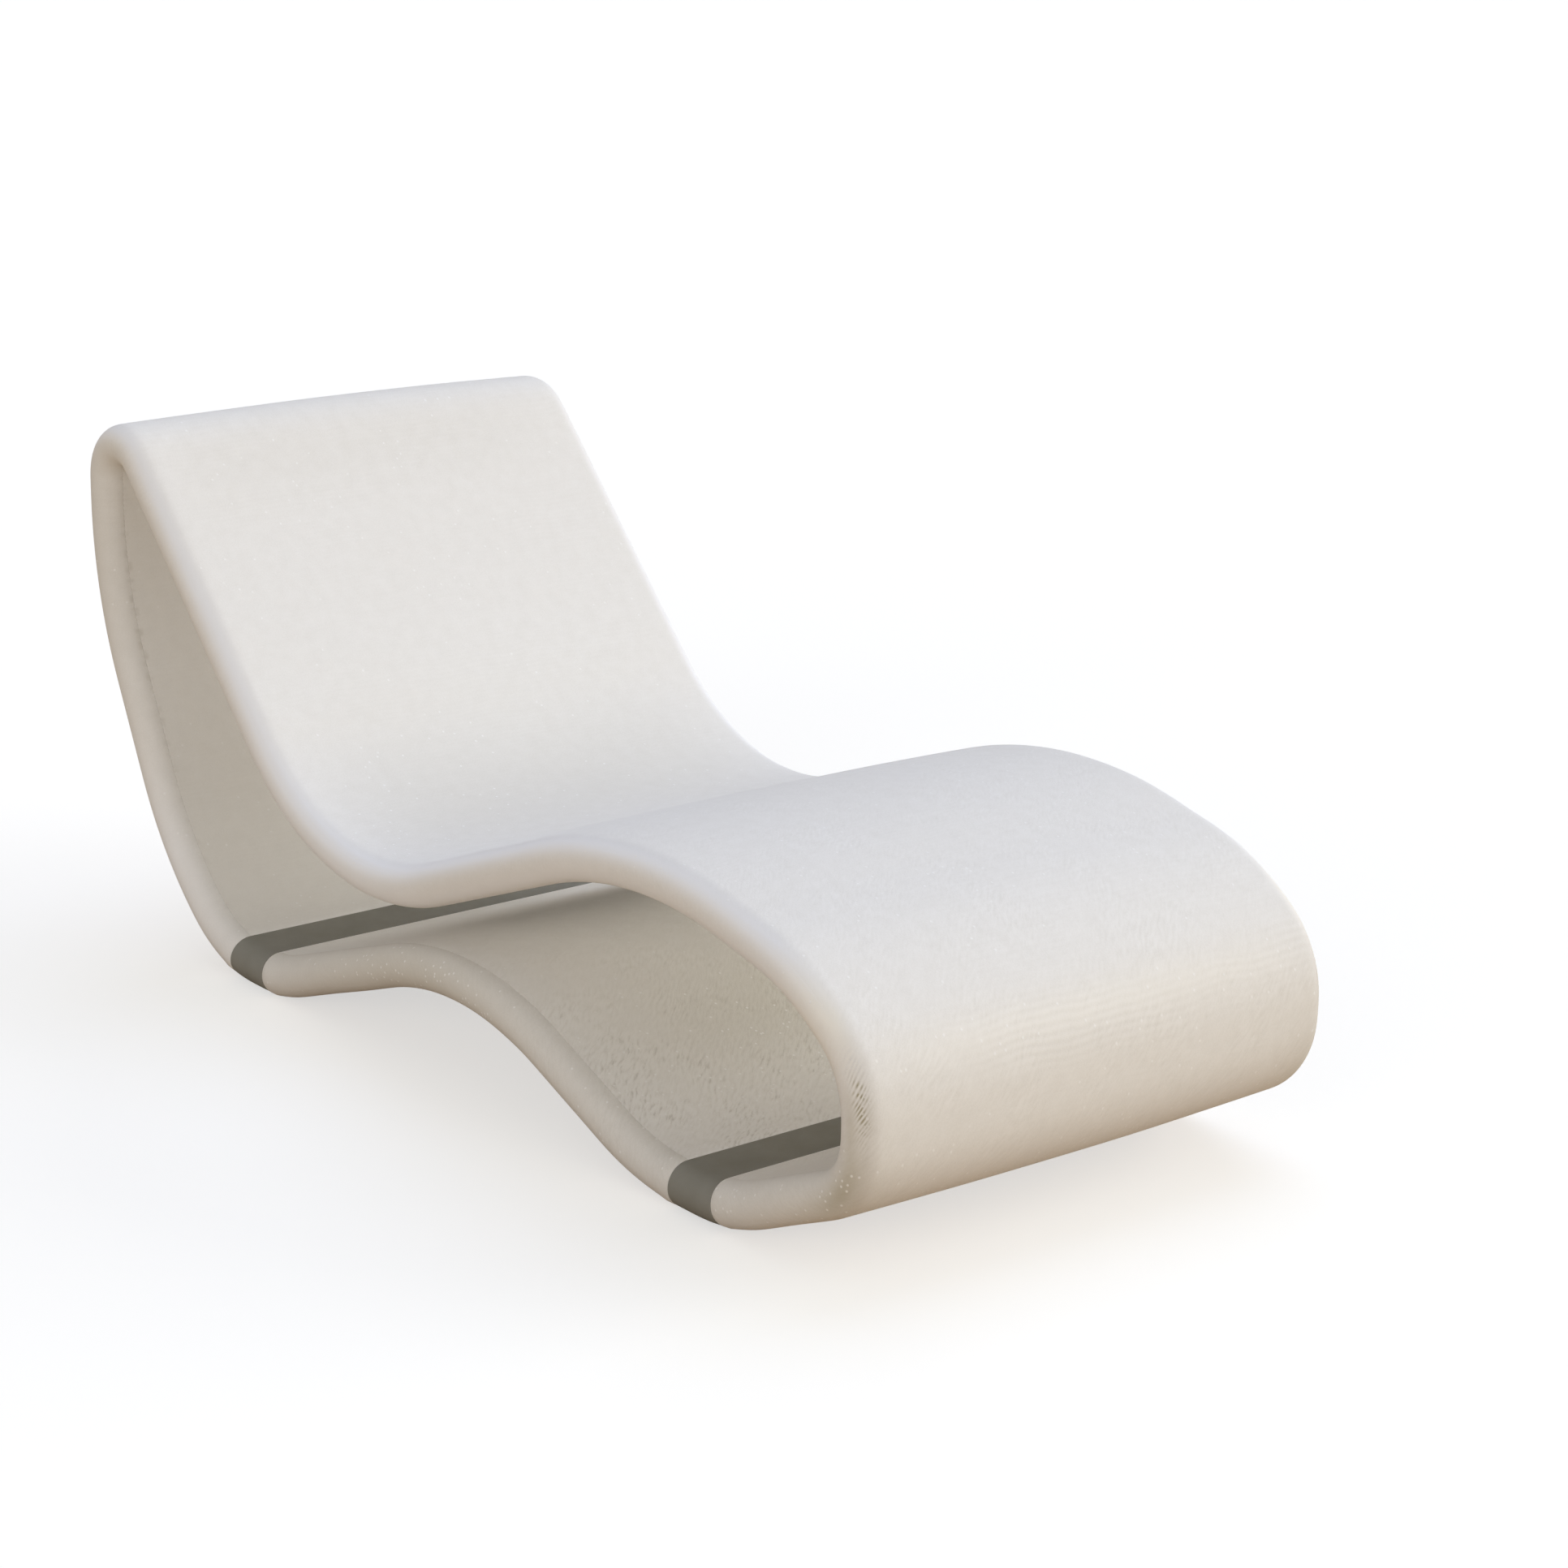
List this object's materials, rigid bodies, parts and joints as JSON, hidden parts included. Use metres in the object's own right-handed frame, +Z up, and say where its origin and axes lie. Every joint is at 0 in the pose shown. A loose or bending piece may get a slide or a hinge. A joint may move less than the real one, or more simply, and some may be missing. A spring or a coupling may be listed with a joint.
{
  "type": "lounger",
  "caption": "Spa relaxation lounger: a padded, fabric-covered band bent into a closed loop, from raised back over seat and knees to the foot end, with dark rubber grip bands where it stands",
  "frame": {"origin": "on the floor, under the middle of the lounger's length and width", "axes": "+X from the head end to the foot end, +Y across the width to the user's left when lying, +Z up"},
  "size_m": [1.9, 0.8, 0.8],
  "materials": {
    "frame_steel": "satin",
    "sling_webbing": "matte",
    "foam": "matte",
    "cover_fabric": "matte",
    "grip_rubber": "matte"
  },
  "bodies": {
    "root": {"left_upper_tube": "frame_steel", "right_upper_tube": "frame_steel", "left_base_tube": "frame_steel", "right_base_tube": "frame_steel", "front_spigots": "frame_steel", "rear_spigots": "frame_steel", "head_rail": "frame_steel", "back_rail": "frame_steel", "lumbar_rail": "frame_steel", "seat_rail": "frame_steel", "knee_rail": "frame_steel", "nose_rail": "frame_steel", "ball_rail": "frame_steel", "arch_front_rail": "frame_steel", "arch_rear_rail": "frame_steel", "heel_rail": "frame_steel", "wall_rail": "frame_steel", "seat_sling": "sling_webbing", "base_sling": "sling_webbing", "head_pad": "foam", "back_pad": "foam", "seat_pad": "foam", "leg_pad": "foam", "foot_pad": "foam", "base_pad": "foam", "wall_pad": "foam", "head_liner": "foam", "back_liner": "foam", "seat_liner": "foam", "leg_liner": "foam", "foot_liner": "foam", "base_liner": "foam", "wall_liner": "foam", "main_cover": "cover_fabric", "base_cover": "cover_fabric", "main_lining": "cover_fabric", "base_lining": "cover_fabric", "front_grip_band": "grip_rubber", "rear_grip_band": "grip_rubber"}
  },
  "joints": []
}
